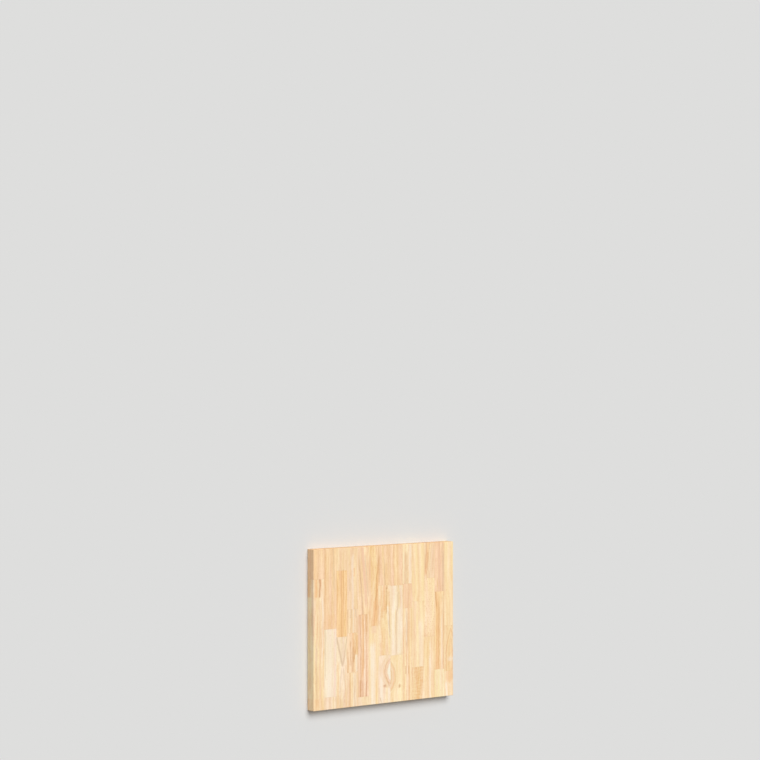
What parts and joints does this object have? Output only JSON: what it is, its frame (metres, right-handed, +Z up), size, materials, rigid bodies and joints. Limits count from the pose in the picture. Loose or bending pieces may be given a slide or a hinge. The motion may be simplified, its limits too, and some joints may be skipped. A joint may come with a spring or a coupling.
{
  "type": "butcher block countertop",
  "caption": "Flat edge-glued hardwood panel of parallel staves, each of end-glued sawn blocks, with lightly eased edges; used as a counter top.",
  "frame": {"origin": "middle of the underside, which is the middle of the box's bottom", "axes": "+X across the staves, which is the counter's depth; +Y along the grain; +Z up, out of the work surface"},
  "size_m": [0.635, 0.575, 0.038],
  "materials": {
    "birch_cream": "white sapwood, sanded bare, dull satin",
    "birch_straw": "straw-coloured sapwood, sanded bare, dull satin",
    "birch_tan": "pale tan wood, sanded bare, dull satin",
    "birch_honey": "honey-coloured wood with darker growth lines, sanded bare, dull satin",
    "birch_rose": "pinkish heartwood with darker growth lines, sanded bare, dull satin",
    "birch_amber": "amber heartwood, sanded bare, dull satin"
  },
  "bodies": {
    "root": {"stave_01_block_1": "birch_tan", "stave_01_block_2": "birch_tan", "stave_02_block_1": "birch_rose", "stave_02_block_2": "birch_cream", "stave_02_block_3": "birch_straw", "stave_03_block_1": "birch_tan", "stave_03_block_2": "birch_amber", "stave_03_block_3": "birch_tan", "stave_04_block_1": "birch_tan", "stave_04_block_2": "birch_tan", "stave_04_block_3": "birch_rose", "stave_04_block_4": "birch_tan", "stave_05_block_1": "birch_rose", "stave_05_block_2": "birch_rose", "stave_05_block_3": "birch_straw", "stave_06_block_1": "birch_honey", "stave_06_block_2": "birch_cream", "stave_07_block_1": "birch_rose", "stave_07_block_2": "birch_honey", "stave_07_block_3": "birch_straw", "stave_08_block_1": "birch_rose", "stave_08_block_2": "birch_cream", "stave_08_block_3": "birch_straw", "stave_09_block_1": "birch_straw", "stave_09_block_2": "birch_rose", "stave_09_block_3": "birch_tan", "stave_10_block_1": "birch_straw", "stave_10_block_2": "birch_straw", "stave_10_block_3": "birch_amber", "stave_11_block_1": "birch_amber", "stave_11_block_2": "birch_straw", "stave_11_block_3": "birch_straw", "stave_12_block_1": "birch_rose", "stave_12_block_2": "birch_honey", "stave_12_block_3": "birch_straw", "stave_13_block_1": "birch_straw", "stave_13_block_2": "birch_tan", "stave_13_block_3": "birch_straw"}
  },
  "joints": []
}
